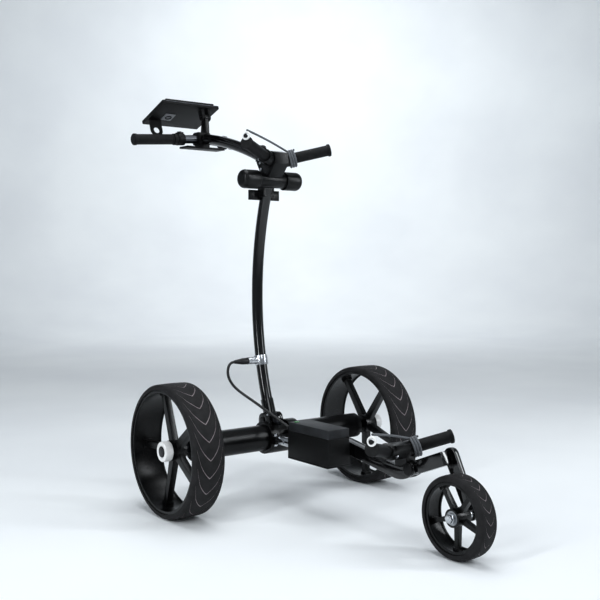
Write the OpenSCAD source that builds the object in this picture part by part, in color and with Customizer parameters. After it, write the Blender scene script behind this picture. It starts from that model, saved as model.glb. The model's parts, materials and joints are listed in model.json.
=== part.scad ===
// Three-wheel electric golf bag cart, with its bag cradles, handle and battery.
// The model is laid out from the middle of the rear axle: X forwards, Y to the cart's left, Z up.
// placed() then moves it so that the origin is the middle of its footprint, on the ground.

/* [Wheels] */
// Diameter of the rear wheels over the tread
rear_wheel_d = 300; // [250:5:360]
// Width of the rear tyres
rear_wheel_w = 76; // [60:1:95]
// Distance between the middles of the rear wheels
wheel_track = 568; // [470:2:690]
// Diameter of the front wheel over the tread
front_wheel_d = 164; // [135:2:200]
// Width of the front tyre
front_wheel_w = 42; // [34:1:52]
// Distance from the rear axle to the front axle
wheelbase = 590; // [565:5:660]
// Number of spokes in each wheel
spoke_count = 5; // [3:1:8]
// Thickness of the solid rubber tyres
tyre_t = 12; // [8:1:18]
// Wall of the drum-shaped rims
rim_wall = 4; // [3:0.5:6]

/* [Axle and drive] */
// Outer diameter of the axle tube that holds the motors
axle_d = 61; // [54:1:75]
// Wall of the axle tube
axle_wall = 3; // [2:0.5:4]
// Diameter of the wheel shafts
shaft_d = 20; // [14:1:25]
// Length of each motor
motor_l = 88; // [70:2:100]
// Length of each gearbox
gearbox_l = 64; // [50:2:75]
// Diameter of the white hub caps
hub_cap_d = 45; // [40:1:60]

/* [Mast] */
// Outer diameter of the mast
mast_d = 27; // [24:1:32]
// Wall of the mast and the handle stem
tube_wall = 2; // [1.5:0.5:3]
// Height of the mast above its foot, along a straight line
mast_chord = 563; // [470:5:680]
// How far the mast bows backwards
mast_bow = 50; // [20:2:70]
// Outer diameter of the knobs at the top of the mast
knob_d = 45; // [36:1:54]

/* [Handle] */
// Distance from the handle's pivot back to the crossbar
handle_reach = 302; // [250:5:360]
// Height of the crossbar above the handle's pivot
handle_rise = 81; // [50:1:120]
// Width of the handle over both grips
handle_w = 412; // [360:4:480]
// Diameter of the crossbar
bar_d = 22; // [18:1:25]
// Length of each grip
grip_l = 116; // [90:2:130]
// Outer diameter of the grips
grip_d = 27; // [24:1:34]

/* [Scorecard board] */
// Width of the board across the cart
board_w = 171; // [140:1:205]
// Depth of the board
board_l = 124; // [100:1:150]
// Thickness of the board
board_t = 9; // [7:0.5:12]
// Slope of the board at rest
board_slope = 20; // [0:1:30]

/* [Frame] */
// Width of the spine and the front leg
spine_w = 26; // [22:1:32]
// Height of the spine and the front leg
spine_h = 28; // [24:1:34]
// Distance that the spine stands to the left of the middle
spine_y = 20; // [18:1:26]
// Distance from the rear axle to the front leg's hinge
leg_x = 447; // [430:1:460]

/* [Bag cradles] */
// Length of each upper cradle arm
upper_arm_l = 110; // [90:2:130]
// Length of each lower cradle arm
lower_arm_l = 101; // [85:2:125]
// Outer diameter of the rubber sleeves
sleeve_d = 26; // [22:1:30]
// Diameter of the steel bars inside the sleeves
arm_bar_d = 16; // [12:1:18]
// Diameter of the elastic cords
bungee_d = 5; // [4:0.5:6]

/* [Battery] */
// Length of the battery
battery_l = 143; // [120:1:170]
// Width of the battery
battery_w = 60; // [48:1:72]
// Height of the battery
battery_h = 79; // [66:1:95]
// Diameter of the power cable
cable_d = 6.5; // [5:0.5:8]

/* [Hidden] */
$fn = 64;

// Colours
black = [0.05, 0.05, 0.055];
soft_black = [0.12, 0.12, 0.13];
rubber_grey = [0.23, 0.23, 0.24];
steel = [0.72, 0.72, 0.74];
cord_grey = [0.55, 0.56, 0.58];
cap_white = [0.9, 0.9, 0.9];

// Clearances: a running fit on a pin, a gap between moving parts, and a saw-cut overlap for cuts
run_gap = 0.05;
move_gap = 0.4;
cut = 1;

// Wheels
rear_r = rear_wheel_d / 2;
front_r = front_wheel_d / 2;
axle_z = rear_r;
wheel_y = wheel_track / 2;
wheel_side_y = wheel_y - rear_wheel_w / 2;
hub_half = 17;
hub_r = shaft_d / 2 + 13;
cap_l = 18.6;
button_r = 12;
button_l = 9.6;
button_travel = 3;
spoke_t = 15;
spoke_w = 18;
front_spoke_w = 11;
// Angle that the right wheel happens to stand at
right_turn = 16;

// Axle tube and what it holds
axle_r = axle_d / 2;
axle_bore_r = axle_r - axle_wall;
axle_cap_l = 20;
axle_half = wheel_side_y - 3;
tube_half = axle_half - axle_cap_l;
shaft_r = shaft_d / 2;
bearing_l = 12;
bearing_t = 9;
shaft_depth = 22;
controller_l = 96;

// Clamp in the middle of the axle
clamp_wall = 8;
clamp_r = axle_r + clamp_wall;
clamp_half = 45;
slot_half = mast_d / 2 + 2.5 + move_gap;
flange_x = clamp_r + 12;
flange_t = 9;
bolt_d = 6;
bolt_inset = 6;

// Latch lever for the mast, on two lugs of the clamp
latch_at = [14, axle_z + clamp_r + 9];
latch_y = -36;
latch_w = 13;
latch_pin_r = 3;
lug_t = 4;
lug_r = 7;

// Mast: an arc from its foot to its top, and the hinge below the foot
foot_back = 7.5;
foot_above = 26.5;
foot = [-axle_r - foot_back, axle_z + axle_r + foot_above];
mast_top = [foot[0], foot[1] + mast_chord];
mast_r = mast_d / 2;
mast_arc_r = mast_chord * mast_chord / (8 * mast_bow) + mast_bow / 2;
mast_lean = asin(mast_chord / 2 / mast_arc_r);
knuckle_r = mast_r + 2.5;
knuckle_drop = 22;
mast_pivot = foot + knuckle_drop * [sin(mast_lean), -cos(mast_lean)];
knuckle_w = 2 * (slot_half - move_gap);
ear_t = 8;
pin_r = 5;

// Head of the mast: cross barrel, knobs, head block and handle pivot
barrel_r = mast_r + 5;
barrel_half = 38;
barrel_c = mast_top + [6, -1];
knob_l = 48;
rod_r = 5;
head_half = 20;
stem_pivot = mast_top + [-10, 50];
stem_tongue = 17.4;
stem_knuckle_r = 13;
handle_c = stem_pivot + [-handle_reach, handle_rise];
stem_bow = 10;
stem_r = mast_r;

// Crossbar: each half droops a little outwards
bar_r = bar_d / 2;
bar_droop = 4.5;
hub_w = 34;
hub_h = 34;
pod_l = 19;
dial_l = 11;
pod_from = handle_w / 2 - grip_l - 1 - dial_l - 2 * move_gap - pod_l;

// Board: its hinge stands on an arm above the crossbar
board_hinge = handle_c + [2, 58];
board_y = -37;
board_lift = 21.5;
board_back = board_l / 2 + 44;
board_front = board_l - board_back;
arm_y = 10;
arm_t = 12;
ring_r = 18;
ring_hole_r = 8.5;
ring_t = 4;
ring_u = -78;
ring_w = board_lift - 30;
ring_y = board_y - board_w / 2 + 23;
strip_h = 7;

// Frame
spine_bend_r = 60;
bend_steps = 10;
spine_side = spine_y - spine_w / 2;
leg_pivot = [leg_x, 147 - 150 + rear_r];
spine_path = [
    [34, axle_z + 13], [235, axle_z + 13], [leg_pivot[0] - 26, leg_pivot[1] - 15], leg_pivot
];
spine_wall = 2.5;
spine_hollow = [
    spine_path[0] - [cut, 0], spine_path[1], spine_path[2] + 45 * towards(spine_path[2], spine_path[1])
];
tongue_w = 15.4;
tongue_r = spine_h / 2 - 0.5;
tongue_l = 24;
neck_h = 20;
leg_path = [
    leg_pivot, leg_pivot + [52, 21], [wheelbase - 50, front_r + 103]
];
fork_t = 12;
fork_y = spine_side + spine_w;
fork_top = [wheelbase - 55, front_r + 104];

// Cradle arms point forwards, outwards and a little up
arm_turn = 63.2;
arm_rise = 13.6;
lower_arm_at = [leg_pivot[0] - 25, 25, leg_pivot[1] + 36];
upper_arm_at = [mast_top[0] + 36, 27, mast_top[1] + 47.5];
socket_l = 20;
socket_r = arm_bar_d / 2 + 9;
sleeve_r = sleeve_d / 2;
flange_r = sleeve_r + 2;

// Battery and its tray
battery_x = 124;
battery_z = 128 - 150 + rear_r;
battery_gap = 0.4;
tray_wall = spine_side - battery_gap;
tray_floor = 5;
battery_wall = 3;
lid_h = battery_h / 4;

// Clamp band for the power cable, on the mast
band_z = foot[1] + 121;
band_h = 24;
band_t = 3;
socket_out = 27;
relief_l = 39;

// The box over the whole cart sets the origin
back_x = board_hinge[0] - board_back * cos(board_slope) - (board_lift + board_t) * sin(board_slope);
front_x = wheelbase + front_r;
mid_x = (back_x + front_x) / 2;

// Routes of the cords, from the middle of the rear axle's footprint
cable_route = [
    [-72, -79, 328], [-72, -88, 326], [-70, -96, 319], [-68, -100, 308], [-66, -100, 296],
    [-62, -97, 284], [-54, -91, 271], [-40, -83, 259], [-20, -74, 247], [5, -65, 234],
    [32, -57, 220], [58, -49, 207], [80, -41, 195], [96, -36, 186], [108, -35, 183]
];

// ---- helpers ----

// Moves the layout so that the origin is the middle of the footprint
module placed() translate([-mid_x, 0, 0]) children();

// Stands a shape that was drawn along Z on the Y axis, from y, at x and z
module on_y(at, y) translate([at[0], y, at[1]]) rotate([-90, 0, 0]) children();

// A round bar along Y between two values of y
module y_rod(at, y0, y1, r) on_y(at, y0) cylinder(r = r, h = y1 - y0);

// A ring along Y
module y_ring(at, y0, y1, r_out, r_in) {
    difference() {
        y_rod(at, y0, y1, r_out);
        y_rod(at, y0 - cut, y1 + cut, r_in);
    }
}

// A side outline, drawn in X and Z, extruded along Y between two values of y
module side_plate(y0, y1) translate([0, y1, 0]) rotate([90, 0, 0]) linear_extrude(y1 - y0) children();

// The left half and its mirror image
module both_sides() {
    children();
    mirror([0, 1, 0]) children();
}

// A rectangle with round corners
module soft_rect(w, h, r) {
    square([w - 2 * r, h], center = true);
    square([w, h - 2 * r], center = true);
    for (x = [-1, 1], y = [-1, 1]) translate([x * (w / 2 - r), y * (h / 2 - r)]) circle(r);
}

// A round bar on the arc from p to q in the plane of X and Z, bulging to the left of that way by bow;
// r_in makes it a tube
module arc_tube(p, q, bow, r_out, r_in = 0) {
    chord = norm(q - p);
    arc_r = chord * chord / (8 * bow) + bow / 2;
    half = asin(chord / 2 / arc_r);
    out = [-(q - p)[1], (q - p)[0]] / chord;
    centre = (p + q) / 2 - out * (arc_r - bow);
    translate([centre[0], 0, centre[1]]) rotate([90, 0, 0])
        rotate([0, 0, atan2(out[1], out[0]) - half]) rotate_extrude(angle = 2 * half, $fn = 360)
            translate([arc_r, 0]) difference() {
                circle(r_out, $fn = 48);
                if (r_in > 0) circle(r_in, $fn = 48);
            }
}

// Headings and bends of a path through points in X and Z
function towards(a, b) = (b - a) / norm(b - a);
function left_of(u) = [-u[1], u[0]];
function turn_at(a, b, c) = atan2(cross(b - a, c - b), (b - a) * (c - b));

// The points of a bend of radius r at the corner b, on the line that runs s to the left of the path
function bend_line(a, b, c, s, r) =
    let (turn = turn_at(a, b, c), side = sign(turn), u = towards(a, b),
         centre = b - u * r * tan(abs(turn) / 2) + side * r * left_of(u))
    [for (k = [0:bend_steps]) let (way = atan2(u[1], u[0]) + turn * k / bend_steps)
        centre - (side * r - s) * [-sin(way), cos(way)]];

// The whole line that runs s to the left of the path
function side_line(path, s, r) =
    let (last = len(path) - 1)
    concat(
        [path[0] + s * left_of(towards(path[0], path[1]))],
        [for (i = [1:last - 1]) each bend_line(path[i - 1], path[i], path[i + 1], s, r)],
        [path[last] + s * left_of(towards(path[last - 1], path[last]))]
    );

// A bar of width w along Y and height h that follows a path of three or more points;
// its far end is square, or round about the last point
module bent_bar(path, y, w, h, r, round_end = false) {
    last = len(path) - 1;
    ahead = towards(path[last - 1], path[last]);
    way = atan2(ahead[1], ahead[0]);
    nose = round_end ? [for (a = [75:-15:-75]) path[last] + h / 2 * [cos(way + a), sin(way + a)]] : [];
    back = side_line(path, -h / 2, r);
    side_plate(y - w / 2, y + w / 2)
        polygon(concat(side_line(path, h / 2, r), nose, [for (i = [len(back) - 1:-1:0]) back[i]]));
}

// Turns a shape that was drawn along Z to lie along a cradle arm
module along_arm(at) translate(at) rotate([0, 90 - arm_rise, arm_turn]) children();

// A tube swept along points; the rings keep square to the path and are turned by a fixed way
module swept_tube(points, r, sides, way) {
    count = len(points);
    function heading(i) = points[min(i + 1, count - 1)] - points[max(i - 1, 0)];
    function unit(v) = v / norm(v);
    rings = [
        for (i = [0:count - 1])
            let (n = unit(cross(heading(i), way)), b = unit(cross(heading(i), n)))
            for (k = [0:sides - 1])
                points[i] + r * (cos(360 * k / sides) * n + sin(360 * k / sides) * b)
    ];
    walls = [
        for (i = [0:count - 2], k = [0:sides - 1])
            let (a = i * sides + k, b = i * sides + (k + 1) % sides)
            [a, b, b + sides, a + sides]
    ];
    ends = [
        [for (k = [0:sides - 1]) sides - 1 - k],
        [for (k = [0:sides - 1]) (count - 1) * sides + k]
    ];
    polyhedron(rings, concat(walls, ends), convexity = 6);
}

// A smooth curve through hand-set points
function smooth(p, t) =
    let (i = min(floor(t), len(p) - 2), f = t - i,
         a = p[max(i - 1, 0)], b = p[i], c = p[i + 1], d = p[min(i + 2, len(p) - 1)])
    0.5 * (2 * b + (c - a) * f + (2 * a - 5 * b + 4 * c - d) * f * f
        + (3 * b - a - 3 * c + d) * f * f * f);
function smoothed(p, steps) = [for (i = [0:steps]) smooth(p, i * (len(p) - 1) / steps)];

// ---- wheels ----

// Rounded band of rubber between the rim and the tread, along Y about the wheel's axle
module tyre(r, w, mid_y) {
    shoulder = tyre_t / 2;
    translate([0, mid_y, 0]) rotate([-90, 0, 0]) rotate_extrude($fn = 120) {
        translate([r - tyre_t, -w / 2]) square([tyre_t - shoulder, w]);
        translate([r - tyre_t, shoulder - w / 2]) square([tyre_t, w - 2 * shoulder]);
        for (s = [-1, 1]) translate([r - shoulder, s * (w / 2 - shoulder)]) circle(shoulder, $fn = 48);
    }
}

// Drum rim with a lip at each edge, spokes in the middle of its width and a bored hub
module rim(r, w, mid_y, hub_out, hub_deep, bore_r, spoke_w, thick, rest_turn = 0) {
    bed_r = r - tyre_t;
    translate([0, mid_y, 0]) rotate([-90, 0, 0]) difference() {
        union() {
            difference() {
                cylinder(r = bed_r, h = w - 4, center = true, $fn = 120);
                cylinder(r = bed_r - rim_wall, h = w, center = true, $fn = 120);
            }
            for (s = [-1, 1]) translate([0, 0, s * (w / 2 - 3.5)]) difference() {
                cylinder(r = bed_r, h = 3, center = true, $fn = 120);
                cylinder(r = bed_r - rim_wall - 3, h = 4, center = true, $fn = 120);
            }
            cylinder(r = hub_out, h = hub_deep, center = true);
            for (i = [0:spoke_count - 1]) rotate([0, 0, 90 + rest_turn + i * 360 / spoke_count]) {
                linear_extrude(thick, center = true)
                    polygon([
                        [hub_out - 4, -spoke_w / 2], [bed_r - 1, -spoke_w * 0.36],
                        [bed_r - 1, spoke_w * 0.36], [hub_out - 4, spoke_w / 2]
                    ]);
                translate([bed_r - rim_wall - 3, 0, 0])
                    cube([8, spoke_w, thick + 5], center = true);
            }
        }
        cylinder(r = bore_r, h = hub_deep + 2 * cut, center = true);
    }
}

module rear_rim(rest_turn) color(black)
    translate([0, 0, axle_z]) rim(rear_r, rear_wheel_w, wheel_y, hub_r, 2 * hub_half,
        shaft_r, spoke_w, spoke_t, rest_turn);
module rear_tyre() color(rubber_grey)
    translate([0, 0, axle_z]) tyre(rear_r, rear_wheel_w, wheel_y);
module hub_cap() color(cap_white) difference() {
    y_rod([0, axle_z], wheel_y + hub_half, wheel_y + hub_half + cap_l, hub_cap_d / 2);
    y_rod([0, axle_z], wheel_y + hub_half + cap_l - button_l - button_travel,
        wheel_y + hub_half + cap_l + cut, button_r + move_gap);
}
module release_button() color(soft_black)
    y_rod([0, axle_z], wheel_y + hub_half + cap_l - button_l + move_gap,
        wheel_y + hub_half + cap_l + 1, button_r);
module drive_shaft() color(steel)
    y_rod([0, axle_z], tube_half - shaft_depth, wheel_y + hub_half, shaft_r);

module front_rim() color(black) placed()
    translate([wheelbase, 0, front_r]) rim(front_r, front_wheel_w, 0, 18, 36, 14, front_spoke_w, 11);
module front_tyre() color(rubber_grey) placed()
    translate([wheelbase, 0, front_r]) tyre(front_r, front_wheel_w, 0);
module front_bearings() color(steel) placed()
    for (s = [-1, 1]) y_ring([wheelbase, front_r], s * 14.5 - 3.5, s * 14.5 + 3.5, 14, 6 + run_gap);

// ---- axle and drive ----

module axle_tube() color(black) placed()
    y_ring([0, axle_z], -tube_half, tube_half, axle_r, axle_bore_r);
module drive_motors() color(steel) placed() both_sides()
    y_rod([0, axle_z], tube_half - gearbox_l - motor_l, tube_half - gearbox_l, axle_bore_r - 2);
module gearboxes() color(steel) placed() both_sides() difference() {
    y_rod([0, axle_z], tube_half - gearbox_l, tube_half - 2, axle_bore_r);
    y_rod([0, axle_z], tube_half - shaft_depth - 2, tube_half, shaft_r + run_gap);
}
module axle_caps() color(black) placed() both_sides() difference() {
    union() {
        y_rod([0, axle_z], tube_half, axle_half, axle_r);
        y_rod([0, axle_z], tube_half - 2, tube_half, axle_bore_r);
    }
    y_rod([0, axle_z], tube_half - 2 - cut, axle_half + cut, shaft_r + 2);
    y_rod([0, axle_z], axle_half - bearing_l, axle_half + cut, shaft_r + bearing_t);
}
module axle_bearings() color(steel) placed() both_sides()
    y_ring([0, axle_z], axle_half - bearing_l, axle_half, shaft_r + bearing_t, shaft_r + run_gap);
module motor_controller() color("darkgreen") placed() intersection() {
    y_rod([0, axle_z], -controller_l / 2, controller_l / 2, axle_bore_r);
    translate([0, 0, axle_z - 10]) cube([2 * axle_r, controller_l, 22], center = true);
}

// Two half shells bolted round the axle tube, slotted above for the folding mast
module axle_clamp() color(black) placed() difference() {
    union() {
        y_rod([0, axle_z], -clamp_half, clamp_half, clamp_r);
        for (s = [-1, 1]) translate([s * (flange_x + axle_r) / 2, 0, axle_z])
            cube([flange_x - axle_r, 2 * clamp_half, 2 * flange_t], center = true);
        for (y = [latch_y - move_gap - lug_t, latch_y + latch_w + move_gap]) {
            y_rod(latch_at, y, y + lug_t, lug_r);
            side_plate(y, y + lug_t) polygon([
                latch_at + [-lug_r, 0], latch_at + [lug_r, 0],
                [latch_at[0] + lug_r + 4, axle_z + axle_r], [latch_at[0] - lug_r, axle_z + axle_r]
            ]);
        }
    }
    y_rod(latch_at, latch_y - clamp_half, 0, latch_pin_r);
    y_rod([0, axle_z], -clamp_half - cut, clamp_half + cut, axle_r);
    translate([-flange_x - cut, -clamp_half - cut, axle_z - 0.5])
        cube([2 * flange_x + 2 * cut, 2 * clamp_half + 2 * cut, 1]);
    translate([-flange_x - cut, -slot_half, axle_z + flange_t])
        cube([2 * flange_x + 2 * cut, 2 * slot_half, clamp_r]);
    for (x = [-1, 1], y = [-1, 1])
        translate([x * (flange_x - 7), y * (clamp_half - bolt_inset), axle_z - 2 * flange_t])
            cylinder(d = bolt_d, h = 4 * flange_t, $fn = 32);
}
module clamp_bolts() color(steel) placed()
    for (x = [-1, 1], y = [-1, 1])
        translate([x * (flange_x - 7), y * (clamp_half - bolt_inset), axle_z]) {
            translate([0, 0, -flange_t - 5]) cylinder(d = bolt_d, h = 2 * flange_t + 5, $fn = 32);
            translate([0, 0, flange_t]) cylinder(d = 10, h = 6, $fn = 32);
            translate([0, 0, -flange_t - 5]) cylinder(d = 10, h = 5, $fn = 6);
        }

// Two ears on the clamp that hold the mast's hinge pin
module mast_foot() color(black) placed() both_sides() difference() {
    union() {
        y_rod(mast_pivot, slot_half, slot_half + ear_t, knuckle_r + 1);
        side_plate(slot_half, slot_half + ear_t) polygon([
            mast_pivot + [-knuckle_r - 1, 0], mast_pivot + [knuckle_r + 1, 0],
            [mast_pivot[0] + knuckle_r + 14, axle_z + flange_t],
            [mast_pivot[0] - knuckle_r - 1, axle_z + flange_t]
        ]);
    }
    y_rod([0, axle_z], 0, clamp_half, clamp_r);
    y_rod(mast_pivot, 0, clamp_half, pin_r);
}

// The mast's hinge pin, the front leg's hinge bolt and the latch's pin
module hinge_pins() color(steel) placed() {
    pin_half = slot_half + ear_t;
    y_rod(mast_pivot, -pin_half, pin_half, pin_r);
    for (s = [-1, 1]) y_rod(mast_pivot, s > 0 ? pin_half : -pin_half - 3, s > 0 ? pin_half + 3 : -pin_half, 8);
    y_rod(leg_pivot, spine_side, spine_side + spine_w, pin_r);
    y_rod(leg_pivot, spine_side - 5, spine_side, 13);
    y_rod(leg_pivot, spine_side + spine_w, spine_side + spine_w + 4, 9);
    y_rod(latch_at, latch_y - move_gap - lug_t, latch_y + latch_w + move_gap + lug_t, latch_pin_r);
}

// ---- frame ----

module chassis_spine() color(black) placed() difference() {
    bent_bar(spine_path, spine_y, spine_w, spine_h, spine_bend_r, true);
    bent_bar(spine_hollow, spine_y, spine_w - 2 * spine_wall, spine_h - 2 * spine_wall, spine_bend_r);
    y_rod([0, axle_z], 0, clamp_half + cut, clamp_r);
    translate([0, 0, axle_z - flange_t]) cube([flange_x, clamp_half, 2 * flange_t]);
    y_rod(leg_pivot, spine_y - tongue_w / 2 - move_gap, spine_y + tongue_w / 2 + move_gap,
        tongue_r + 0.5 + move_gap);
    side_plate(spine_y - tongue_w / 2 - move_gap, spine_y + tongue_w / 2 + move_gap)
        polygon(leg_sweep);
    y_rod(leg_pivot, 0, clamp_half, pin_r);
}

module battery_tray() color(soft_black) placed() {
    x0 = battery_x - 6;
    x1 = battery_x + battery_l - 5;
    floor_top = battery_z - battery_gap;
    y0 = spine_side - tray_wall - battery_gap - battery_w + 2;
    translate([x0, y0, floor_top - tray_floor]) cube([x1 - x0, spine_side - y0, tray_floor]);
    translate([x0, spine_side - tray_wall, floor_top - tray_floor])
        cube([x1 - x0, tray_wall, axle_z + 24 - floor_top + tray_floor]);
    translate([x0, y0, floor_top - tray_floor])
        cube([6 - battery_gap, spine_side - y0, battery_h - 4]);
}

// Round plug between the clamp and the tray, and the cable's gland on the tray
module battery_plug() color(steel) placed() {
    y = -30;
    x0 = flange_x;
    x1 = battery_x - 6;
    translate([x0, y, axle_z]) rotate([0, 90, 0]) cylinder(r = 11, h = x1 - x0);
    translate([cable_route[len(cable_route) - 1][0], -35, 183 - 150 + rear_r]) rotate([0, 90, 0])
        cylinder(r = cable_d, h = 10);
}

// Bracket that carries the lower cradle arms
module lower_bracket() color(soft_black) placed() difference() {
    at = lower_arm_at;
    union() {
        translate([at[0] - 17, -21, at[2] - 14]) cube([34, 42, 28]);
        translate([at[0] - 17, spine_side, leg_pivot[1] - 12])
            cube([34, spine_w, at[2] - leg_pivot[1]]);
        both_sides() along_arm(at) translate([0, 0, -12]) cylinder(r = socket_r, h = socket_l + 12);
    }
    bent_bar(spine_path, spine_y, spine_w, spine_h, spine_bend_r, true);
    both_sides() along_arm(at) cylinder(r = arm_bar_d / 2, h = 2 * socket_l);
}
module arm_bars(at, l) both_sides() along_arm(at) cylinder(r = arm_bar_d / 2, h = l - 2);
module arm_sleeves(at, l) both_sides() along_arm(at) difference() {
    union() {
        translate([0, 0, socket_l]) cylinder(r = sleeve_r, h = l - socket_l);
        translate([0, 0, l - 5]) cylinder(r = flange_r, h = 5);
    }
    translate([0, 0, socket_l - cut]) cylinder(r = arm_bar_d / 2, h = l - 2 - socket_l + cut);
}
// The hook for the cord's ring, a peg at the end of the right arm
module arm_hook(at, l) mirror([0, 1, 0]) along_arm(at) translate([-hook_up, 0, l - 5]) {
    cylinder(r = hook_r, h = 5 + hook_l);
    translate([0, 0, 5 + hook_l - hook_head_t]) cylinder(r = hook_r + 1.5, h = hook_head_t);
}
module lower_arm_bars() color(steel) placed() arm_bars(lower_arm_at, lower_arm_l);
module lower_arm_sleeves() color(rubber_grey) placed() {
    arm_sleeves(lower_arm_at, lower_arm_l);
    arm_hook(lower_arm_at, lower_arm_l);
}

// ---- elastic cords ----

// Direction of the left and right arms
arm_way = [cos(arm_rise) * cos(arm_turn), cos(arm_rise) * sin(arm_turn), sin(arm_rise)];
function mirrored(v) = [v[0], -v[1], v[2]];
function unit3(v) = v / norm(v);
// Two directions square to the left arm
arm_up = unit3([0, 0, 1] - arm_way * arm_way[2]);
arm_out = cross(arm_way, arm_up);
wrap_turns = 3;
wrap_pitch = bungee_d + 0.8;
wrap_r = socket_r + bungee_d / 2 + 0.3;
upper_wrap_from = 5.5;
lower_wrap_from = 10.5;
ring_wire = 5.2;
ring_mid_r = 7.9;
hook_r = 3.4;
hook_slack = 0.4;
hook_head_t = 1.5;
hook_l = ring_wire + 2 * hook_slack + hook_head_t;
hook_up = flange_r - 1.5;

// The cord winds round the left arm, then runs over to the ring on the right arm's hook
function wrap_point(at, from, t) =
    at + arm_way * (from + wrap_pitch * t)
        + wrap_r * (cos(360 * t) * arm_up + sin(360 * t) * arm_out);
function ring_at(at, l) = mirrored(at + arm_way * (l + hook_slack + ring_wire / 2)
    + arm_up * (hook_up + ring_mid_r - ring_wire / 2 - hook_r - 0.3));
function bungee_route(at, l, from) =
    let (start = wrap_point(at, from, 0),
         hook = ring_at(at, l) + (ring_mid_r + ring_wire / 2 + bungee_d / 2 + 0.3) * mirrored(arm_up))
    concat(
        [for (i = [0:7]) hook + (start - hook) * i / 8 + [0, 0, 2 * sin(180 * i / 8)]],
        [for (i = [0:wrap_turns * 16]) wrap_point(at, from, i / 16)]
    );
module bungee(at, l, from) swept_tube(bungee_route(at, l, from), bungee_d / 2, 8, arm_way);
module bungee_ring(at, l) translate(ring_at(at, l)) rotate([0, 90 - arm_rise, -arm_turn])
    rotate_extrude() translate([ring_mid_r, 0]) circle(ring_wire / 2, $fn = 24);
module lower_bungee() color(cord_grey) placed() bungee(lower_arm_at, lower_arm_l, lower_wrap_from);
module lower_bungee_ring() color(cap_white) placed() bungee_ring(lower_arm_at, lower_arm_l);
module upper_bungee() color(cord_grey) placed() bungee(upper_arm_at, upper_arm_l, upper_wrap_from);
module upper_bungee_ring() color(cap_white) placed() bungee_ring(upper_arm_at, upper_arm_l);

// ---- mast ----

// Lever with a wedge nose that locks the mast upright; it turns on a pin between two lugs
module mast_latch() color(rubber_grey) placed() {
    difference() {
        side_plate(latch_y, latch_y + latch_w) polygon([
            latch_at + [-6, -5], latch_at + [10, -5], latch_at + [34, -12],
            latch_at + [34, -4], latch_at + [6, 14], latch_at + [-6, 10]
        ]);
        y_rod(latch_at, latch_y - cut, latch_y + latch_w + cut, latch_pin_r + run_gap);
    }
}

module mast_tube() color(black) placed() difference() {
    union() {
        arc_tube(foot, mast_top, mast_bow, mast_r, mast_r - tube_wall);
        translate([mast_pivot[0], 0, mast_pivot[1]]) rotate([0, -mast_lean, 0])
            cylinder(r = knuckle_r - 0.5, h = knuckle_drop + 28);
        y_rod(mast_pivot, -knuckle_w / 2, knuckle_w / 2, knuckle_r);
    }
    y_rod(mast_pivot, -knuckle_w, knuckle_w, pin_r + run_gap);
}

// Point on the mast's middle line at a height, and its lean from upright there
function mast_x(z) = let (h = z - (foot[1] + mast_top[1]) / 2)
    foot[0] - mast_bow + mast_arc_r - sqrt(mast_arc_r * mast_arc_r - h * h);
band_x = mast_x(band_z);
band_lean = asin(((foot[1] + mast_top[1]) / 2 - band_z) / mast_arc_r);
module at_band() translate([band_x, 0, band_z]) children();
module cable_clamp() color(steel) placed() at_band() difference() {
    union() {
        rotate([0, -band_lean, 0]) cylinder(r = mast_r + band_t, h = band_h, center = true);
        rotate([90, 0, 0]) cylinder(r = 9, h = mast_r + band_t + socket_out - 3);
        translate([0, -mast_r - 4, 4]) cube([16, 8, 10], center = true);
    }
    rotate([0, -band_lean, 0]) cylinder(r = mast_r + 0.2, h = 2 * band_h, center = true);
    translate([0, -mast_r - band_t - socket_out + 3 + 8, 0]) rotate([90, 0, 0])
        cylinder(r = 6, h = 8 + cut);
}
relief_from = -mast_r - band_t - socket_out + 3;
module strain_relief() color(soft_black) placed() at_band() difference() {
    union() {
        translate([0, relief_from, 0]) rotate([90, 0, 0]) cylinder(r = 8, h = 14);
        translate([0, relief_from - 14, 0]) rotate([90, 0, 0])
            cylinder(r1 = 8, r2 = cable_d / 2 + 0.8, h = relief_l - 14);
    }
    translate([0, relief_from + cut, 0]) rotate([90, 0, 0])
        cylinder(r = cable_d / 2 + 0.05, h = relief_l + 2 * cut);
}
cable_shift = [band_x - cable_route[0][0], relief_from - relief_l - cable_route[0][1],
    band_z - cable_route[0][2]];
module power_cable() color(soft_black) placed() {
    count = len(cable_route);
    route = [for (i = [0:count - 1]) cable_route[i] + cable_shift * (1 - i / (count - 1))];
    swept_tube(smoothed(route, 28), cable_d / 2, 10, [1, -1, 1]);
}

// ---- head of the mast ----

module cross_barrel() color(black) placed() difference() {
    union() {
        y_rod(barrel_c, -barrel_half, barrel_half, barrel_r);
        translate([barrel_c[0] - 30, -44, barrel_c[1] - 47]) cube([6, 88, 24]);
        translate([barrel_c[0] - 30, -16, barrel_c[1] - 40]) cube([24, 32, 36]);
    }
    arc_tube(foot, mast_top, mast_bow, mast_r);
    y_rod(barrel_c, -barrel_half - cut, -mast_r - 2, rod_r + run_gap);
    y_rod(barrel_c, mast_r + 2, barrel_half + cut, rod_r + run_gap);
}
module knob_half(y0) on_y(barrel_c, y0) {
    cylinder(r = knob_d / 2, h = knob_l - 12);
    translate([0, 0, knob_l - 12]) rotate_extrude() intersection() {
        union() {
            square([knob_d / 2 - 12, 12]);
            translate([knob_d / 2 - 12, 0]) circle(12, $fn = 48);
        }
        square([knob_d, 12]);
    }
    translate([0, 0, -barrel_half + mast_r + 6]) cylinder(r = rod_r, h = barrel_half - mast_r);
}
module clamp_knobs() color(soft_black) placed() both_sides() knob_half(barrel_half + move_gap);

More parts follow.
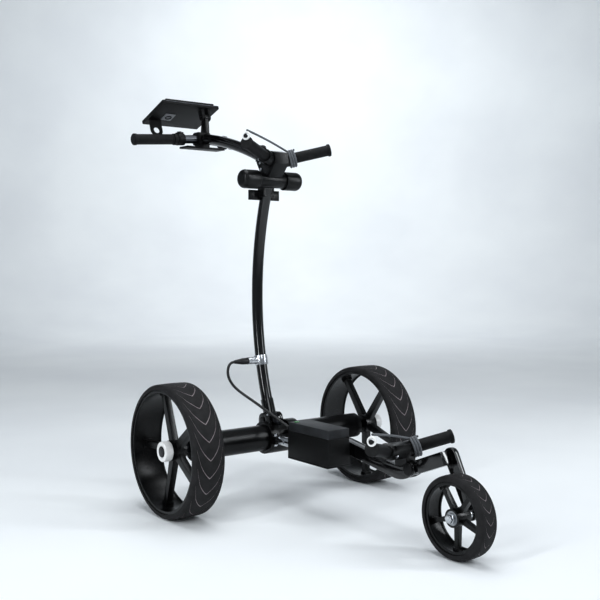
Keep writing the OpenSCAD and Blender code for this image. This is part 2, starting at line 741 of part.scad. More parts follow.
module head_block() color(soft_black) placed() difference() {
    union() {
        side_plate(-head_half, head_half) polygon([
            barrel_c + [-6, 6], barrel_c + [20, 6], upper_head(18, -12), upper_head(18, 14),
            upper_head(-8, 20), stem_pivot + [6, 16], stem_pivot + [-14, 10],
            stem_pivot + [-13, -8]
        ]);
        both_sides() along_arm(upper_arm_at) translate([0, 0, -12])
            cylinder(r = socket_r, h = socket_l + 12);
    }
    y_rod(barrel_c, -head_half - cut, head_half + cut, barrel_r);
    y_rod(stem_pivot, -stem_tongue / 2 - move_gap, stem_tongue / 2 + move_gap,
        stem_knuckle_r + 2);
    side_plate(-stem_tongue / 2 - move_gap, stem_tongue / 2 + move_gap) polygon([
        stem_pivot + [10, 8], stem_pivot + [-6, -46], stem_pivot + [-60, -46],
        stem_pivot + [-60, 60], stem_pivot + [10, 60]
    ]);
    y_rod(stem_pivot, -head_half - cut, head_half + cut, 4);
    both_sides() along_arm(upper_arm_at) cylinder(r = arm_bar_d / 2, h = 2 * socket_l);
}
function upper_head(x, z) = [upper_arm_at[0] + x, upper_arm_at[2] + z];
module handle_pin() color(steel) placed() y_rod(stem_pivot, -head_half - 3, head_half + 3, 4);
module upper_arm_bars() color(steel) placed() arm_bars(upper_arm_at, upper_arm_l);
module upper_arm_sleeves() color(rubber_grey) placed() {
    arm_sleeves(upper_arm_at, upper_arm_l);
    arm_hook(upper_arm_at, upper_arm_l);
}

// ---- handle ----

module handle_stem() color(black) placed() difference() {
    union() {
        intersection() {
            arc_tube(handle_c + [bar_r, 0], stem_pivot, stem_bow, stem_r, stem_r - tube_wall);
            translate([handle_c[0], -stem_r, 0])
                cube([stem_pivot[0] - 22 - handle_c[0], 2 * stem_r, 2 * handle_c[1]]);
        }
        y_rod(stem_pivot, -stem_tongue / 2, stem_tongue / 2, stem_knuckle_r);
        side_plate(-stem_tongue / 2, stem_tongue / 2) polygon([
            stem_pivot + [0, -9], stem_pivot + [4, 11], stem_pivot + [-30, 20],
            stem_pivot + [-34, -2]
        ]);
    }
    y_rod(stem_pivot, -head_half, head_half, 4 + run_gap);
    bar_solid();
}

// Crossbar: two drooping halves that meet in the hub
module bar_half() translate([handle_c[0], 0, handle_c[1]]) rotate([-90 - bar_droop, 0, 0]) children();
module bar_solid() {
    both_sides() bar_half() cylinder(r = bar_r, h = handle_w / 2 - 4);
    translate([handle_c[0], 0, handle_c[1]]) sphere(bar_r);
}
module handle_bar() color(steel) placed() difference() {
    bar_solid();
    both_sides() bar_half() translate([0, 0, 20]) cylinder(r = bar_r - tube_wall, h = handle_w);
}
module handle_hub() color(soft_black) placed() difference() {
    union() {
        translate([handle_c[0], 0, handle_c[1]]) rotate([90, 0, 0])
            linear_extrude(hub_w, center = true) soft_rect(38, hub_h, 9);
        translate([handle_c[0] - 18, -58, handle_c[1] - 28]) cube([42, 116, 5]);
        translate([handle_c[0] - 12, -14, handle_c[1] - 24]) cube([30, 28, 10]);
    }
    bar_solid();
    arc_tube(handle_c + [bar_r, 0], stem_pivot, stem_bow, stem_r);
}
module grip() color(rubber_grey) placed() bar_half() difference() {
    union() {
        translate([0, 0, handle_w / 2 - grip_l]) cylinder(r = grip_d / 2, h = grip_l - 3);
        translate([0, 0, handle_w / 2 - 9]) cylinder(r = grip_d / 2 + 1.5, h = 7);
        translate([0, 0, handle_w / 2 - 3]) cylinder(r = grip_d / 2 - 1, h = 3);
    }
    translate([0, 0, handle_w / 2 - grip_l - cut]) cylinder(r = bar_r, h = grip_l - 4 + cut);
}
module grip_left() grip();
module grip_right() mirror([0, 1, 0]) grip();

button_at = pod_from + pod_l / 2;
module control_pods() color(soft_black) placed() difference() {
    both_sides() bar_half() difference() {
        union() {
            translate([0, 0, pod_from]) cylinder(r = bar_r + 5, h = pod_l);
            translate([0, -bar_r - 2, pod_from + pod_l / 2]) cube([20, 10, pod_l - 6], center = true);
        }
        translate([0, 0, pod_from - cut]) cylinder(r = bar_r, h = pod_l + 2 * cut);
    }
    mirror([0, 1, 0]) bar_half() translate([0, -bar_r - 3, button_at]) rotate([90, 0, 0])
        cylinder(r = 6 + move_gap, h = 20);
}
module power_button() color("crimson") placed() mirror([0, 1, 0]) bar_half()
    translate([0, -bar_r - 5.4, button_at]) rotate([90, 0, 0]) cylinder(r = 6, h = 4);
module speed_dial() color(soft_black) placed() mirror([0, 1, 0]) bar_half() difference() {
    translate([0, 0, pod_from + pod_l + move_gap]) cylinder(r = bar_r + 4, h = dial_l);
    translate([0, 0, pod_from + pod_l]) cylinder(r = bar_r + run_gap, h = dial_l + 2 * cut);
}

// ---- board ----

// Arm from the handle's hub to the board's hinge, with the hinge pin through its top
arm_foot_z = handle_c[1] + hub_h / 2;
ear_gap = 1;
ear_w = 6;
module board_arm() color(black) placed() {
    side_plate(arm_y - arm_t / 2, arm_y + arm_t / 2) polygon([
        [handle_c[0] - 12, arm_foot_z], [handle_c[0] + 14, arm_foot_z],
        board_hinge + [9, -4], board_hinge + [-9, -4]
    ]);
    y_rod(board_hinge, arm_y - arm_t / 2, arm_y + arm_t / 2, 9);
    y_rod(board_hinge, arm_y - arm_t / 2 - ear_gap - ear_w - 3, arm_y + arm_t / 2 + ear_gap + ear_w + 3, 3);
}

// Everything in the board's own slope: u to the front, v across, w up, from the hinge
module on_board() translate([board_hinge[0], 0, board_hinge[1]]) rotate([0, -board_slope, 0]) children();
module scorecard_board() color(soft_black) placed() on_board() difference() {
    union() {
        translate([-board_back, board_y - board_w / 2, board_lift]) cube([board_l, board_w, board_t]);
        translate([board_front - 12, board_y - board_w / 2 + 12, board_lift + board_t])
            cube([8, board_w - 24, strip_h]);
        for (s = [-1, 1]) {
            y0 = arm_y + s * (arm_t / 2 + ear_gap + ear_w / 2) - ear_w / 2;
            translate([-9, y0, 0]) cube([18, ear_w, board_lift]);
            y_rod([0, 0], y0, y0 + ear_w, 9);
        }
        translate([ring_u, ring_y, ring_w]) rotate([0, 90, 0]) cylinder(r = ring_r, h = ring_t, center = true);
        translate([ring_u - ring_t / 2, ring_y - ring_r, ring_w])
            cube([ring_t, 2 * ring_r, board_lift - ring_w]);
    }
    y_rod([0, 0], arm_y - board_w, arm_y + board_w, 3 + run_gap);
    translate([ring_u, ring_y, ring_w]) rotate([0, 90, 0])
        cylinder(r = ring_hole_r, h = ring_t + 2 * cut, center = true);
}

// ---- battery ----

module battery_case() color(soft_black) placed() difference() {
    translate([battery_x, -battery_w, battery_z])
        cube([battery_l, battery_w - battery_gap, battery_h - lid_h]);
    translate([battery_x + battery_wall, -battery_w + battery_wall, battery_z + battery_wall])
        cube([battery_l - 2 * battery_wall, battery_w - battery_gap - 2 * battery_wall, battery_h]);
}
module battery_lid() color(rubber_grey) placed()
    translate([battery_x, -battery_w, battery_z + battery_h - lid_h]) difference() {
        cube([battery_l, battery_w - battery_gap, lid_h]);
        translate([battery_wall, battery_wall, -battery_wall])
            cube([battery_l - 2 * battery_wall, battery_w - battery_gap - 2 * battery_wall, lid_h]);
    }
module battery_cells() color("royalblue") placed()
    for (i = [0:5], j = [0:1])
        translate([battery_x + 15 + i * 22.4, -battery_w / 2 - 11.4 + j * 22.4, battery_z + battery_wall])
            cylinder(d = 21, h = battery_h - lid_h - battery_wall, $fn = 32);

// ---- front leg ----

module front_leg() color(soft_black) placed() difference() {
    union() {
        y_rod(leg_pivot, spine_y - tongue_w / 2, spine_y + tongue_w / 2, tongue_r);
        side_plate(spine_y - tongue_w / 2, spine_y + tongue_w / 2) polygon([
            leg_pivot + neck_h / 2 * leg_side, leg_pivot - neck_h / 2 * leg_side,
            leg_pivot - neck_h / 2 * leg_side + (tongue_l + 2) * leg_way,
            leg_pivot + neck_h / 2 * leg_side + (tongue_l + 2) * leg_way
        ]);
        bent_bar([leg_pivot + tongue_l * leg_way, leg_path[1], leg_path[2]],
            spine_y, spine_w, spine_h, spine_bend_r);
    }
    y_rod(leg_pivot, 0, clamp_half, pin_r + run_gap);
}
leg_way = towards(leg_path[0], leg_path[1]);
leg_side = [-leg_way[1], leg_way[0]];

// What the leg's neck sweeps through as it folds down by a quarter turn
neck_back = leg_pivot - (neck_h / 2 + move_gap) * leg_way;
leg_sweep = [
    leg_pivot, neck_back, neck_back - 2 * spine_h * leg_side,
    leg_pivot + 2 * spine_h * (leg_way - leg_side), leg_pivot + 2 * spine_h * leg_way
];

module front_fork() color(black) placed() difference() {
    hub = [wheelbase, front_r];
    way = towards(fork_top, hub);
    side = [-way[1], way[0]];
    union() {
        y_rod(fork_top, fork_y, fork_y + fork_t, 17);
        y_rod(hub, fork_y, fork_y + fork_t, 14);
        side_plate(fork_y, fork_y + fork_t) polygon([
            fork_top + 17 * side, fork_top - 17 * side, hub - 14 * side, hub + 14 * side
        ]);
    }
    y_rod(hub, 0, fork_y + 2 * fork_t, 6);
}
module front_axle() color(steel) placed() {
    hub = [wheelbase, front_r];
    y_rod(hub, -29, fork_y + fork_t + 4, 6);
    y_rod(hub, -23, -18.4, 10);
    y_rod(hub, 18.4, fork_y, 10);
    y_rod(hub, fork_y + fork_t, fork_y + fork_t + 6, 11);
    on_y(hub, -28) cylinder(r = 9, h = 5, $fn = 6);
}

// ---- left and right rear wheels ----

module rear_rim_left() placed() rear_rim(0);
module rear_tyre_left() placed() rear_tyre();
module hub_cap_left() placed() hub_cap();
module release_button_left() placed() release_button();
module drive_shaft_left() placed() drive_shaft();
module rear_rim_right() mirror([0, 1, 0]) placed() rear_rim(right_turn);
module rear_tyre_right() mirror([0, 1, 0]) placed() rear_tyre();
module hub_cap_right() mirror([0, 1, 0]) placed() hub_cap();
module release_button_right() mirror([0, 1, 0]) placed() release_button();
module drive_shaft_right() mirror([0, 1, 0]) placed() drive_shaft();

axle_tube();
drive_motors();
gearboxes();
axle_caps();
axle_bearings();
motor_controller();
axle_clamp();
clamp_bolts();
mast_foot();
hinge_pins();
chassis_spine();
battery_tray();
battery_plug();
lower_bracket();
lower_arm_bars();
lower_arm_sleeves();
lower_bungee();
lower_bungee_ring();
mast_latch();
mast_tube();
cable_clamp();
strain_relief();
power_cable();
head_block();
cross_barrel();
handle_pin();
upper_arm_bars();
upper_arm_sleeves();
upper_bungee();
upper_bungee_ring();
clamp_knobs();
handle_stem();
handle_hub();
handle_bar();
grip_left();
grip_right();
control_pods();
power_button();
speed_dial();
board_arm();
scorecard_board();
battery_case();
battery_lid();
battery_cells();
front_leg();
front_fork();
front_axle();
front_rim();
front_tyre();
front_bearings();
rear_rim_left();
rear_tyre_left();
hub_cap_left();
release_button_left();
drive_shaft_left();
rear_rim_right();
rear_tyre_right();
hub_cap_right();
release_button_right();
drive_shaft_right();
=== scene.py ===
# %% [markdown]
# # A three-wheel golf cart in Blender
# The cart's frame, joints and sizes come from a CAD model, which is loaded as a fixed frame of
# meshes in metres. This lesson gives it its finishes, its cords, its tyres, its screws and the
# rounded edges that a maker would see on the real one. X points forwards, Y to the cart's left
# and Z up, and every mesh keeps its place in its own vertices.

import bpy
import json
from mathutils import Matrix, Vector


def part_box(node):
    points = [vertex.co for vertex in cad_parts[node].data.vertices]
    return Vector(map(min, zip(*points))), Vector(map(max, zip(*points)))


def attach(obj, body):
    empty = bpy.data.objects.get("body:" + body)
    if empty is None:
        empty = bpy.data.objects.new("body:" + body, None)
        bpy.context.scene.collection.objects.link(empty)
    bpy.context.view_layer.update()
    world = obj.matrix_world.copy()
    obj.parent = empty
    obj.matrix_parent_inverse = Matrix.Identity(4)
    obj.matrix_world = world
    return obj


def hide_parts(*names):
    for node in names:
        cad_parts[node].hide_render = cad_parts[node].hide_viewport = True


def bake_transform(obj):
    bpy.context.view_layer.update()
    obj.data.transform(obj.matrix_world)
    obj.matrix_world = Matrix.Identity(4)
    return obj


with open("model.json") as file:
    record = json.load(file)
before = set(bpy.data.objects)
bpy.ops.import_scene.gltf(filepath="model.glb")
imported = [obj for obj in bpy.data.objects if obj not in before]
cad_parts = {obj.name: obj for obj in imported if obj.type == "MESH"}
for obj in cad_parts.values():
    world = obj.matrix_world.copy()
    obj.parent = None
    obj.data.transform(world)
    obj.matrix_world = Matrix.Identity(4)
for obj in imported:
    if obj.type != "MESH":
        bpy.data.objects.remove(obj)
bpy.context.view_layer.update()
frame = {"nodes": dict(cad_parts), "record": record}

# %% Tools for all the steps
import json
from math import cos, pi, radians, sin

import bpy
from mathutils import Vector

ops, mesh_ops = bpy.ops.object, bpy.ops.mesh

# %% [markdown]
# ## Where things are
# The CAD was laid out in millimetres from the middle of the rear axle. Its X in the frame is the
# middle of a rear tyre's box, so one small function turns a workshop measure into a place here.

# %% A place from a workshop measure
tyre_low, tyre_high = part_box("rear_tyre_left")
AXLE_X = (tyre_low.x + tyre_high.x) / 2


def at(x, y, z):
    return Vector((AXLE_X + x / 1000, y / 1000, z / 1000))


print("rear axle at x =", round(AXLE_X, 4))

# %% [markdown]
# ## Camera
# A long lens low to the ground keeps the wheels round and the mast straight. The camera stands
# right of the front wheel, a little above the middle of the cart, and looks back across it.

# %% The camera
yaw, pitch = radians(142.72), radians(-2.46)
look = Vector((cos(pitch) * cos(yaw), cos(pitch) * sin(yaw), sin(pitch)))
lens = bpy.data.cameras.new("camera")
lens.lens, lens.sensor_width, lens.clip_end = 55.3, 36, 60
camera = bpy.data.objects.new("camera", lens)
camera.location = at(1800.7, -1304.1, 574.9)
camera.rotation_euler = look.to_track_quat("-Z", "Y").to_euler()
bpy.context.scene.collection.objects.link(camera)
bpy.context.scene.camera = camera
print("camera at", [round(v, 3) for v in camera.location])

# %% [markdown]
# ## Working on one piece at a time
# Operators act on everything that is selected, so each step first lets go of everything. A new
# primitive is shaped in edit mode, and its place is applied, so that its object stays at the
# origin. The last helper hands a finished piece to its CAD body with its finish.


# %% Picking, editing and handing over
def pick(*things):
    if bpy.context.mode != "OBJECT":
        ops.mode_set(mode="OBJECT")
    ops.select_all(action="DESELECT")
    for thing in things:
        thing.select_set(True)
    bpy.context.view_layer.objects.active = things[0]
    return things[0]


def open_mesh(piece):
    pick(piece)
    ops.mode_set(mode="EDIT")
    mesh_ops.select_all(action="SELECT")


def close_mesh(piece):
    if bpy.context.mode != "OBJECT":
        ops.mode_set(mode="OBJECT")
    return piece


def choose_faces(piece, test):
    ops.mode_set(mode="EDIT")
    mesh_ops.select_mode(type="FACE")
    mesh_ops.select_all(action="DESELECT")
    ops.mode_set(mode="OBJECT")
    for face in piece.data.polygons:
        face.select = bool(test(face))
    ops.mode_set(mode="EDIT")


def with_modifier(piece, kind, **settings):
    pick(piece)
    modifier = piece.modifiers.new(kind.lower(), kind)
    for name, value in settings.items():
        setattr(modifier, name, value)
    ops.modifier_apply(modifier=modifier.name)
    return piece


def smooth(piece, angle=35):
    pick(piece)
    ops.shade_smooth_by_angle(angle=radians(angle))
    return piece


def hand_over(piece, name, body, finish, stands_for=()):
    pick(piece)
    ops.transform_apply(location=True, rotation=True, scale=True)
    piece.name = piece.data.name = name
    if finish:
        piece.data.materials.clear()
        piece.data.materials.append(finish)
    if body:
        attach(piece, body)
    if stands_for:
        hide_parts(*stands_for)
    return piece


# %% [markdown]
# ## A studio to stand in
# The cart stands on a pale seamless floor that curves up into a wall all round, as a paper sweep
# in a studio does, so no edge shows behind it from any side. A disc is drawn up step by step.

# %% The seamless floor
mesh_ops.primitive_circle_add(vertices=96, radius=5, fill_type="NGON", location=(AXLE_X, 0, 0))
floor = bpy.context.object
open_mesh(floor)
mesh_ops.select_mode(type="EDGE")
mesh_ops.select_all(action="DESELECT")
mesh_ops.select_non_manifold()
radius, height, sweep = 5.0, 0.0, 2.2
for step in range(1, 13):
    turn = radians(90 * step / 12)
    next_radius, next_height = 5 + sweep * sin(turn), sweep * (1 - cos(turn))
    mesh_ops.extrude_edges_move(TRANSFORM_OT_translate={"value": (0, 0, next_height - height)})
    grow = next_radius / radius
    bpy.ops.transform.resize(value=(grow, grow, 1), center_override=(AXLE_X, 0, 0))
    radius, height = next_radius, next_height
mesh_ops.extrude_edges_move(TRANSFORM_OT_translate={"value": (0, 0, 5)})
close_mesh(floor)
smooth(floor, 60)
floor.name = "floor"
print("floor reaches", round(radius, 2), "m out and", round(height + 5, 2), "m up")

# %% [markdown]
# ## Light
# One broad softbox overhead gives the pale floor and the soft shadow under the wheels. Two tall
# narrow boxes stand left and right and draw the thin bright lines down the gloss tubes, and a
# lamp behind the cart brightens the wall, so that the black frame stands out against it.

# %% The softboxes
def softbox(name, place, aim, size, watts, tint):
    light = bpy.data.lights.new(name, "AREA")
    light.shape, light.size, light.size_y = "RECTANGLE", size[0], size[1]
    light.energy, light.color = watts, tint
    holder = bpy.data.objects.new(name, light)
    holder.location = Vector(place)
    holder.rotation_euler = (Vector(aim) - Vector(place)).to_track_quat("-Z", "Y").to_euler()
    bpy.context.scene.collection.objects.link(holder)
    return holder


DAYLIGHT = (0.93, 0.97, 1.0)
softbox("overhead", (0.0, 0.0, 3.4), (0, 0, 0), (2.6, 2.6), 60, DAYLIGHT)
softbox("right_strip", (0.6, -2.6, 1.5), (0, 0, 0.55), (0.3, 2.0), 30, DAYLIGHT)
softbox("left_strip", (1.9, 1.6, 1.6), (0, 0, 0.5), (0.3, 2.0), 22, DAYLIGHT)
softbox("front_fill", (3.4, -1.2, 2.6), (0, 0, 0.4), (1.6, 1.6), 20, DAYLIGHT)
wall = look.copy()
wall.z = 0
wall.normalize()
glow_place, glow_aim = wall * 4.3 + Vector((0, 0, 3.3)), wall * 7.2 + Vector((0, 0, 1.1))
softbox("wall_glow", glow_place, glow_aim, (1.2, 1.2), 74, DAYLIGHT)
world = bpy.data.worlds.new("studio")
world.use_nodes = True
world.node_tree.nodes["Background"].inputs["Color"].default_value = (0.86, 0.92, 1.0, 1)
world.node_tree.nodes["Background"].inputs["Strength"].default_value = 0.10
bpy.context.scene.world = world
bpy.context.scene.view_settings.view_transform = "Standard"
bpy.context.scene.view_settings.look = "Medium High Contrast"

# %% [markdown]
# ## Finishes
# Colours are picked as sRGB hex values, as in a paint shop's chart, and one function turns them
# into the linear values that a renderer adds up. Another small function adds a node, sets it and
# wires it. A finish made with them has a colour that drifts a little from place to place, a grain
# or grit of its true size, and a roughness that follows it.


# %% Colour and node helpers
def colour(code):
    parts = [int(code[i:i + 2], 16) / 255 for i in (0, 2, 4)]
    return [p / 12.92 if p <= 0.04045 else ((p + 0.055) / 1.055) ** 2.4 for p in parts] + [1.0]


def add(tree, kind, sockets=None, /, **settings):
    node = tree.nodes.new("ShaderNode" + kind)
    for name, value in settings.items():
        setattr(node, name, value)
    for name, value in (sockets or {}).items():
        if isinstance(value, bpy.types.NodeSocket):
            tree.links.new(value, node.inputs[name])
        else:
            node.inputs[name].default_value = value
    return node


def finish(name, dark, light, patch_mm, grain_mm, bump, rough, **sockets):
    """A finish whose colour runs from dark to light in patches, with a fine grain of that size.
    rough holds the lowest and the highest roughness; sockets go to the shader itself."""
    material = bpy.data.materials.new(name)
    material.use_nodes = True
    tree = material.node_tree
    tree.nodes.clear()
    place = add(tree, "TexCoord").outputs["Object"]
    patches = add(tree, "TexNoise", {"Vector": place, "Scale": 1000 / patch_mm, "Detail": 3.0})
    grain = add(tree, "TexNoise", {"Vector": place, "Scale": 1000 / grain_mm, "Detail": 2.0})
    blend = add(tree, "MapRange", {"Value": patches.outputs["Fac"], "From Min": 0.35, "From Max": 0.65})
    tint = add(tree, "Mix", {0: blend.outputs["Result"], 6: colour(dark), 7: colour(light)}, data_type="RGBA")
    rubbed = add(tree, "MapRange", {"Value": grain.outputs["Fac"], "From Min": 0.3, "From Max": 0.7,
                                    "To Min": rough[0], "To Max": rough[1]})
    relief = add(tree, "Bump", {"Height": grain.outputs["Fac"], "Strength": bump,
                                "Distance": grain_mm / 4000})
    shader = add(tree, "BsdfPrincipled", {"Base Color": tint.outputs[2],
                                          "Roughness": rubbed.outputs["Result"],
                                          "Normal": relief.outputs["Normal"], **sockets})
    add(tree, "OutputMaterial", {"Surface": shader.outputs["BSDF"]})
    return material


# %% [markdown]
# The frame is powder coated steel and aluminium: a thermoset powder, baked to a hard gloss skin
# with a faint orange peel. The axle and the brackets have the satin grade of the same black.

# %% Powder coats
gloss_coat = finish("powder_coated_steel_gloss_black", "040405", "070708", 40, 1.6, 0.05, (0.09, 0.15),
                    **{"Coat Weight": 0.5, "Coat Roughness": 0.06, "Specular IOR Level": 0.5})
satin_coat = finish("powder_coated_aluminium_satin_black", "070708", "0c0c0d", 30, 0.7, 0.16, (0.26, 0.38),
                    **{"Specular IOR Level": 0.35})

# %% [markdown]
# The housings are moulded ABS with a spark-eroded grain, and the rims are glass-filled nylon from
# a polished mould. The hub caps and the cords' rings are plain white ABS.

# %% Moulded plastics
case_plastic = finish("moulded_abs_black_grained", "09090a", "0f0f10", 25, 0.6, 0.30, (0.40, 0.55),
                      **{"Specular IOR Level": 0.3})
lid_plastic = finish("moulded_abs_charcoal_grained", "242527", "2e2f32", 25, 0.6, 0.30, (0.45, 0.60),
                     **{"Specular IOR Level": 0.35})
rim_nylon = finish("moulded_glass_filled_nylon_black", "060607", "0a0a0b", 30, 0.9, 0.10, (0.22, 0.34),
                   **{"Specular IOR Level": 0.4})
white_plastic = finish("moulded_abs_white", "e9e8e6", "f6f5f4", 14, 0.8, 0.06, (0.28, 0.38))
knob_plastic = finish("moulded_nylon_black", "070708", "0c0c0d", 20, 0.7, 0.14, (0.28, 0.40),
                      **{"Specular IOR Level": 0.35})

# %% [markdown]
# Rubber comes in four finishes: the tyre's hard tread; a pale colour in the tread's grooves, a painted
# highlight for the thin light lines along them; the soft grips and sleeves; and the cable's smooth PVC
# jacket.

# %% Rubbers
tread_rubber = finish("vulcanised_tyre_rubber", "1c1b1c", "262526", 18, 0.9, 0.45, (0.62, 0.80),
                      **{"Specular IOR Level": 0.35})
# The groove colour is pale and pinkish: a painted highlight along the tread's lines, not a rubber of its own.
painted_groove_highlight = finish("tyre_groove_with_dust", "857a7d", "a3989a", 9, 0.9, 0.20, (0.80, 0.95))
grip_rubber = finish("soft_thermoplastic_rubber", "101011", "1a1a1b", 12, 0.5, 0.35, (0.52, 0.70),
                     **{"Specular IOR Level": 0.3})
cable_jacket = finish("extruded_pvc_black", "121213", "1b1b1c", 15, 1.0, 0.06, (0.34, 0.44))

# %% [markdown]
# Bare metals keep the default IOR, and their roughness does the work: bright zinc on screws and
# pins, a drawn satin on the crossbar, and turned steel inside.

# %% Metals
zinc_plate = finish("zinc_plated_steel_bright", "b9bcc0", "d6d8db", 5, 0.4, 0.05, (0.16, 0.28), Metallic=1.0)
satin_bar = finish("anodised_aluminium_satin_grey", "55575b", "66686c", 18, 0.35, 0.08, (0.26, 0.38),
                   Metallic=1.0)
dark_anodised = finish("anodised_aluminium_dark_grey", "2c2d30", "3a3b3e", 12, 0.35, 0.08, (0.30, 0.42),
                       Metallic=1.0)
turned_steel = finish("turned_steel", "8f9194", "a9abae", 8, 0.4, 0.10, (0.28, 0.42), Metallic=1.0)
black_oxide = finish("black_oxide_steel", "17181a", "222325", 9, 0.4, 0.08, (0.24, 0.36), Metallic=1.0)
circuit_board = finish("epoxy_circuit_board_green", "0b3a1c", "114a26", 6, 0.8, 0.20, (0.30, 0.45))
cell_wrap = finish("shrink_wrapped_cell_blue", "1a3f7c", "23509a", 10, 0.8, 0.05, (0.30, 0.40))
print(len(bpy.data.materials), "materials so far")

# %% [markdown]
# ## Every CAD node gets its finish
# Parts whose CAD shape is right keep their mesh and only take a finish. The list is kept by
# finish, as a painter would sort the parts on racks before spraying.

# %% Racks of parts
racks = {
    gloss_coat: ["mast_foot", "mast_tube", "handle_stem", "front_fork", "chassis_spine", "front_leg"],
    satin_coat: ["axle_tube", "axle_caps", "axle_clamp", "lower_bracket", "head_block", "cross_barrel",
                 "board_arm", "hinge_pins"],
    case_plastic: ["battery_tray", "battery_case", "handle_hub", "control_pods", "speed_dial",
                   "scorecard_board"],
    lid_plastic: ["battery_lid"],
    rim_nylon: ["front_rim", "rear_rim_left", "rear_rim_right", "release_button_left",
                "release_button_right"],
    knob_plastic: ["clamp_knobs"],
    white_plastic: ["hub_cap_left", "hub_cap_right", "lower_bungee_ring", "upper_bungee_ring"],
    grip_rubber: ["lower_arm_sleeves", "upper_arm_sleeves", "grip_left", "grip_right"],
    tread_rubber: ["front_tyre", "rear_tyre_left", "rear_tyre_right"],
    cable_jacket: ["power_cable", "strain_relief", "lower_bungee", "upper_bungee"],
    dark_anodised: ["mast_latch", "power_button"],
    black_oxide: ["axle_bearings", "drive_shaft_left", "drive_shaft_right"],
    satin_bar: ["handle_bar"],
    zinc_plate: ["clamp_bolts", "battery_plug", "cable_clamp", "handle_pin", "front_axle"],
    turned_steel: ["drive_motors", "gearboxes", "lower_arm_bars", "upper_arm_bars", "front_bearings"],
    circuit_board: ["motor_controller"],
    cell_wrap: ["battery_cells"],
}
for paint, parts in racks.items():
    for part in parts:
        frame["nodes"][part].data.materials.clear()
        frame["nodes"][part].data.materials.append(paint)
unpainted = set(frame["nodes"]) - {part for parts in racks.values() for part in parts}
print("parts without a finish:", sorted(unpainted))

# %% [markdown]
# The sweep itself is matt paper, almost white.

# %% Backdrop paper
backdrop = finish("seamless_backdrop_paper", "eceef0", "f3f5f6", 900, 3.0, 0.03, (0.85, 0.95),
                  **{"Specular IOR Level": 0.2})
floor.data.materials.clear()
floor.data.materials.append(backdrop)

# %% [markdown]
# ## Cords
# A cord is a fixed length of something flexible. The power cable leaves the clamp on the mast
# sideways, falls in one bend and runs forwards to the plug behind the battery. Its route repeats
# the round numbers of the CAD, and a smooth curve is passed through them.

# %% The power cable's route
cable_stops = [
    (-72, -79, 328), (-72, -88, 326), (-70, -96, 319), (-68, -100, 308), (-66, -100, 296),
    (-62, -97, 284), (-54, -91, 271), (-40, -83, 259), (-20, -74, 247), (5, -65, 234),
    (32, -57, 220), (58, -49, 207), (80, -41, 195), (96, -36, 186), (108, -35, 183),
]
LAST_STOP, ROUTE_STEPS = len(cable_stops) - 1, 56
relief_low, relief_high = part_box("strain_relief")
relief_end = Vector(((relief_low.x + relief_high.x) / 2, relief_low.y, (relief_low.z + relief_high.z) / 2))
first_shift = relief_end - at(*cable_stops[0])
stops = [at(*stop) + first_shift * (1 - i / LAST_STOP) for i, stop in enumerate(cable_stops)]


def smooth_between(points, t):
    i = min(int(t), len(points) - 2)
    f = t - i
    a, b, c = points[max(i - 1, 0)], points[i], points[i + 1]
    d = points[min(i + 2, len(points) - 1)]
    square, cube = 2 * a - 5 * b + 4 * c - d, 3 * b - a - 3 * c + d
    return 0.5 * (2 * b + (c - a) * f + square * f * f + cube * f ** 3)


cable_route = [smooth_between(stops, i * LAST_STOP / ROUTE_STEPS) for i in range(ROUTE_STEPS + 1)]

# %% [markdown]
# A bezier or poly curve with a round bevel is the cord's own shape: its line is the centreline,
# and its bevel is the thickness. Turned into a mesh it keeps a UV map that runs along the cord,
# which a woven pattern can follow. The power cable crosses the mast's hinge; it is baked in place
# and given to no body.


# %% Drawing a cord along points
def cord_along(name, points, diameter, sides=6):
    line = bpy.data.curves.new(name, "CURVE")
    line.dimensions, line.bevel_depth, line.bevel_resolution = "3D", diameter / 2, sides
    line.use_fill_caps = True
    spline = line.splines.new("POLY")
    spline.points.add(len(points) - 1)
    for spot, point in zip(spline.points, points):
        spot.co = (*point, 1)
    piece = bpy.data.objects.new(name, line)
    bpy.context.scene.collection.objects.link(piece)
    pick(piece)
    ops.convert(target="MESH")
    return smooth(bpy.context.object, 50)


cable = hand_over(cord_along("power_cable_jacket", cable_route, 0.0065), "power_cable_jacket", None,
                  cable_jacket, ["power_cable"])
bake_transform(cable)
print("cable UV maps:", [layer.name for layer in cable.data.uv_layers])

# %% [markdown]
# The two elastic cords hold a bag in its cradles. Each one is braided polyester over rubber
# strands. It winds three times round the left arm and runs tight across to a ring that hangs on
# a peg at the end of the right arm. The winding is a helix about the arm, so its points are worked out.

# %% The cradle arms and the elastic cords' routes
TURN, RISE = radians(63.2), radians(13.6)
arm_way = Vector((cos(RISE) * cos(TURN), cos(RISE) * sin(TURN), sin(RISE)))
arm_up = (Vector((0, 0, 1)) - arm_way * arm_way.z).normalized()
arm_out = arm_way.cross(arm_up)
CORD_D, CORD_GAP, SOCKET_R, WINDING_GAP, SAG = 5, 0.3, 17, 0.8, 2
WRAP_R = SOCKET_R + CORD_D / 2 + CORD_GAP
RING_R, RING_WIRE, RING_SLACK, PEG_UP, PEG_R = 7.9, 5.2, 0.4, 13.5, 3.4
RING_UP = PEG_UP + RING_R - RING_WIRE / 2 - PEG_R - CORD_GAP


def to_right(v):
    return Vector((v.x, -v.y, v.z))


def winding_point(foot, first, t):
    return (foot + arm_way * (first + (CORD_D + WINDING_GAP) * t)
            + WRAP_R * (cos(2 * pi * t) * arm_up + sin(2 * pi * t) * arm_out))


def elastic_route(foot, arm_length, first):
    ring = to_right(foot + arm_way * (arm_length + RING_SLACK + RING_WIRE / 2) + arm_up * RING_UP)
    hook = ring + to_right(arm_up) * (RING_R + RING_WIRE / 2 + CORD_D / 2 + CORD_GAP)
    start = winding_point(foot, first, 0)
    run = [hook + (start - hook) * i / 8 + Vector((0, 0, SAG * sin(pi * i / 8))) for i in range(8)]
    return [at(*p) for p in run + [winding_point(foot, first, i / 16) for i in range(49)]]


def length_of(points):
    return sum((b - a).length for a, b in zip(points, points[1:]))
